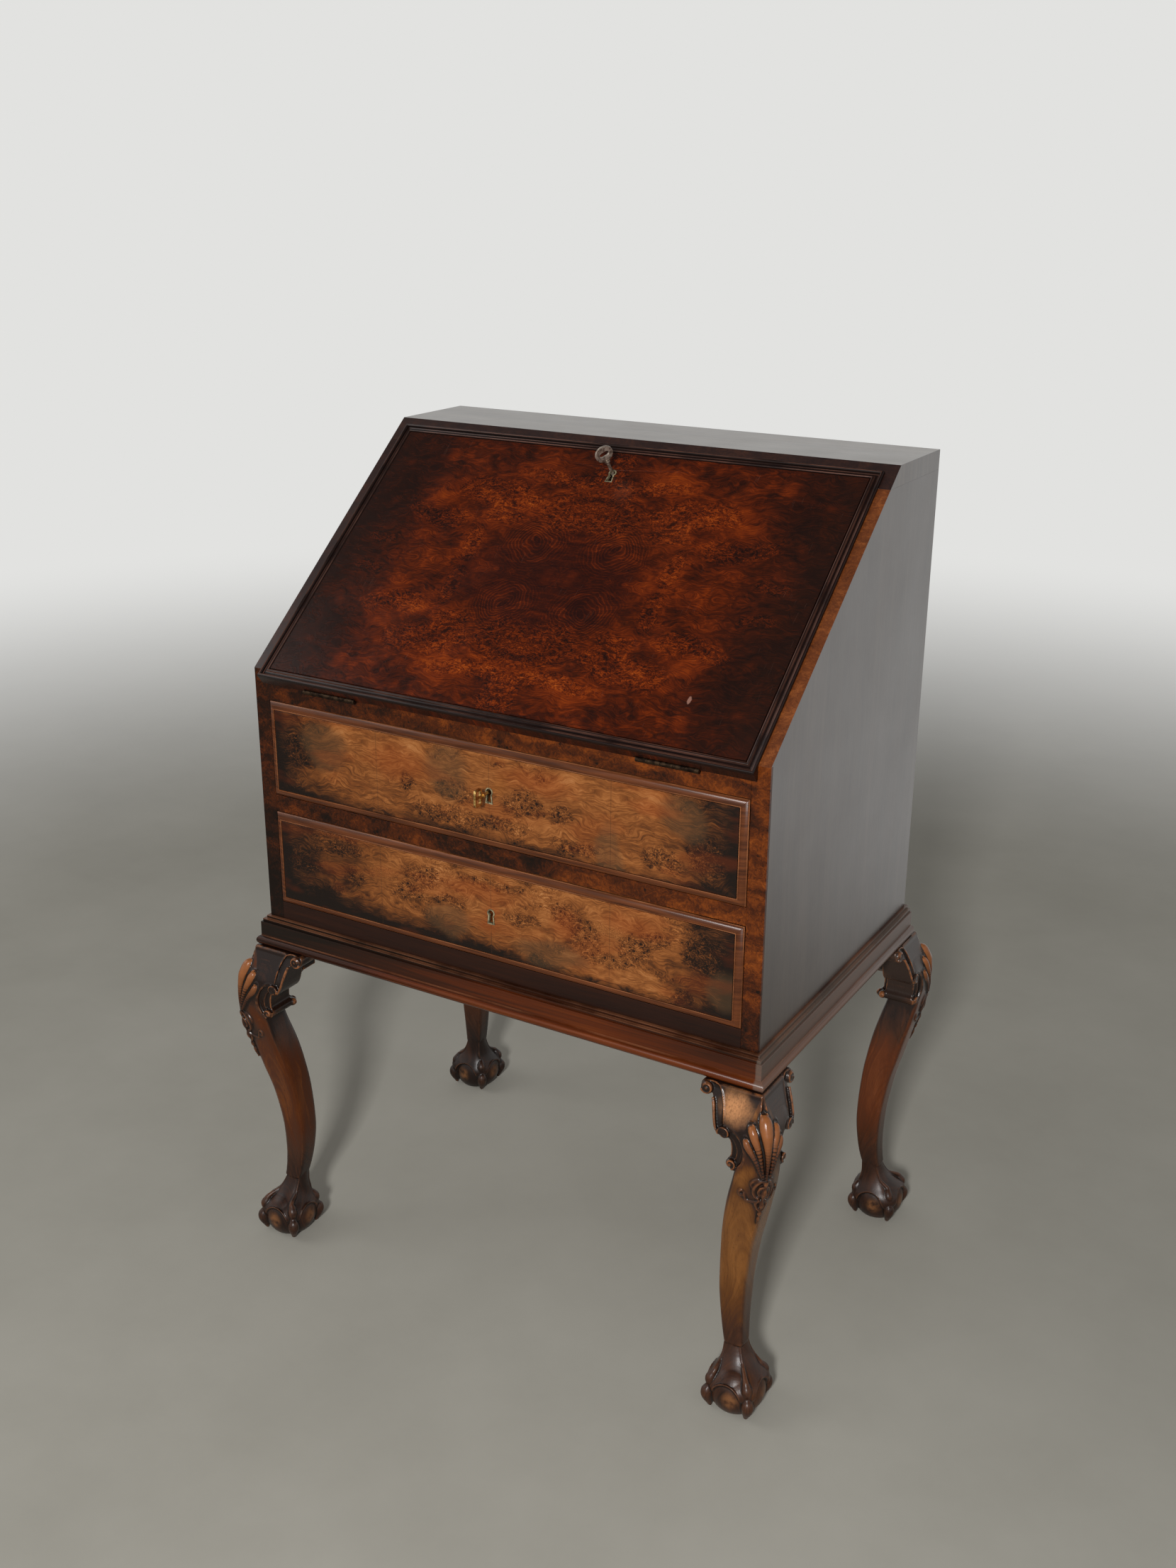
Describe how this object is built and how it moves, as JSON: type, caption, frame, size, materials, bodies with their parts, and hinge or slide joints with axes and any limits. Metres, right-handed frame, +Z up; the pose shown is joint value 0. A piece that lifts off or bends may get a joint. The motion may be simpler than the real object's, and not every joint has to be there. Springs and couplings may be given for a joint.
{
  "type": "fall front secretaire",
  "caption": "Slant front writing bureau with a hinged fall on elbow stays, drawers below, pigeonholes inside, and a moulded stand on carved cabriole legs.",
  "frame": {"origin": "on the floor, under the middle of the case", "axes": "+Z up, the front with the fall and the drawers towards -Y, +X to the right seen from the front"},
  "size_m": [0.7224, 0.4964, 1.0061],
  "materials": {
    "walnut": "polished walnut veneer",
    "burl": "polished burr walnut veneer",
    "dark_burl": "polished red-brown burr walnut veneer",
    "dark_moulding": "dark polished walnut",
    "stand_wood": "carved and polished walnut",
    "carcase_wood": "plain oak and pine",
    "small_front_wood": "polished walnut",
    "brass": "aged brass",
    "steel": "dull steel"
  },
  "bodies": {
    "case": {"side_left": "walnut", "side_right": "walnut", "top_board": "walnut", "stile_left": "burl", "stile_right": "burl", "top_rail": "burl", "middle_rail": "burl", "bottom_rail": "dark_moulding", "stand_rails": "stand_wood", "stand_mouldings": "stand_wood", "leg_front_left": "stand_wood", "leg_front_right": "stand_wood", "leg_back_left": "stand_wood", "leg_back_right": "stand_wood", "knee_brackets": "stand_wood", "back_panel": "carcase_wood", "case_bottom": "carcase_wood", "desk_board": "carcase_wood", "dust_panel": "carcase_wood", "drawer_runners": "carcase_wood", "pigeonhole_shelves": "carcase_wood", "pigeonhole_uprights": "carcase_wood", "corner_blocks": "carcase_wood", "case_hinge_leaves": "brass", "hinge_pins": "brass", "stay_case_plates": "brass", "stand_screws": "steel"},
    "fall": {"fall_panel": "dark_burl", "fall_moulding": "dark_moulding", "fall_hinge_leaves": "brass", "fall_lock": "steel", "fall_escutcheon": "brass", "stay_fall_brackets": "brass"},
    "fall_bolt": {"fall_bolt": "steel"},
    "fall_key": {"fall_key": "steel"},
    "stay_case_link_left": {"stay_case_link_left": "brass"},
    "stay_case_link_right": {"stay_case_link_right": "brass"},
    "stay_fall_link_left": {"stay_fall_link_left": "brass"},
    "stay_fall_link_right": {"stay_fall_link_right": "brass"},
    "upper_drawer": {"upper_drawer_front": "burl", "upper_drawer_moulding": "dark_moulding", "upper_drawer_sides": "carcase_wood", "upper_drawer_back": "carcase_wood", "upper_drawer_bottom": "carcase_wood", "upper_drawer_lock": "steel", "upper_drawer_escutcheon": "brass"},
    "upper_drawer_bolt": {"upper_drawer_bolt": "steel"},
    "upper_drawer_key": {"upper_drawer_key": "brass"},
    "lower_drawer": {"lower_drawer_front": "burl", "lower_drawer_moulding": "dark_moulding", "lower_drawer_sides": "carcase_wood", "lower_drawer_back": "carcase_wood", "lower_drawer_bottom": "carcase_wood", "lower_drawer_lock": "steel", "lower_drawer_escutcheon": "brass"},
    "lower_drawer_bolt": {"lower_drawer_bolt": "steel"},
    "small_drawer": {"small_drawer_front": "small_front_wood", "small_drawer_box": "carcase_wood", "small_drawer_knob": "brass"}
  },
  "joints": [
    {"name": "fall_hinge", "type": "hinge", "parent": "case", "child": "fall", "pos_m": [0, -0.215, 0.7405], "axis": [1, 0, 0], "range_deg": [0, 140.71]},
    {"name": "fall_key_turn", "type": "hinge", "parent": "fall", "child": "fall_key", "pos_m": [0, 0.04655, 0.96855], "axis": [0, -0.6333, 0.7739], "range_deg": [0, 90]},
    {"name": "fall_bolt_slide", "type": "slide", "parent": "fall", "child": "fall_bolt", "axis": [0, 0.7739, 0.6333], "range_m": [0, 0.008]},
    {"name": "upper_drawer_slide", "type": "slide", "parent": "case", "child": "upper_drawer", "axis": [0, -1, 0], "range_m": [0, 0.3]},
    {"name": "upper_drawer_key_turn", "type": "hinge", "parent": "upper_drawer", "child": "upper_drawer_key", "pos_m": [0, -0.2165, 0.6695], "axis": [0, -1, 0], "range_deg": [0, 90]},
    {"name": "upper_drawer_bolt_slide", "type": "slide", "parent": "upper_drawer", "child": "upper_drawer_bolt", "axis": [0, 0, 1], "range_m": [0, 0.004]},
    {"name": "lower_drawer_slide", "type": "slide", "parent": "case", "child": "lower_drawer", "axis": [0, -1, 0], "range_m": [0, 0.3]},
    {"name": "lower_drawer_bolt_slide", "type": "slide", "parent": "lower_drawer", "child": "lower_drawer_bolt", "axis": [0, 0, 1], "range_m": [0, 0.004]},
    {"name": "small_drawer_slide", "type": "slide", "parent": "case", "child": "small_drawer", "axis": [0, -1, 0], "range_m": [0, 0.11]},
    {"name": "stay_case_link_left_turn", "type": "hinge", "parent": "case", "child": "stay_case_link_left", "pos_m": [-0.302, -0.09, 0.7785], "axis": [1, 0, 0], "range_deg": [0, 140.71]},
    {"name": "stay_fall_link_left_turn", "type": "hinge", "parent": "fall", "child": "stay_fall_link_left", "pos_m": [-0.299, -0.11193, 0.81192], "axis": [1, 0, 0], "range_deg": [-140.71, 0]},
    {"name": "stay_case_link_right_turn", "type": "hinge", "parent": "case", "child": "stay_case_link_right", "pos_m": [0.302, -0.09, 0.7785], "axis": [1, 0, 0], "range_deg": [0, 140.71]},
    {"name": "stay_fall_link_right_turn", "type": "hinge", "parent": "fall", "child": "stay_fall_link_right", "pos_m": [0.299, -0.11193, 0.81192], "axis": [1, 0, 0], "range_deg": [-140.71, 0]}
  ],
  "couplings": [
    {"joint": "fall_key_turn", "follows": "fall_bolt_slide", "rad_per_m": 196.34},
    {"joint": "upper_drawer_key_turn", "follows": "upper_drawer_bolt_slide", "rad_per_m": 392.69},
    {"joint": "stay_case_link_left_turn", "follows": "fall_hinge", "ratio": 1},
    {"joint": "stay_fall_link_left_turn", "follows": "fall_hinge", "ratio": -1},
    {"joint": "stay_case_link_right_turn", "follows": "fall_hinge", "ratio": 1},
    {"joint": "stay_fall_link_right_turn", "follows": "fall_hinge", "ratio": -1}
  ]
}
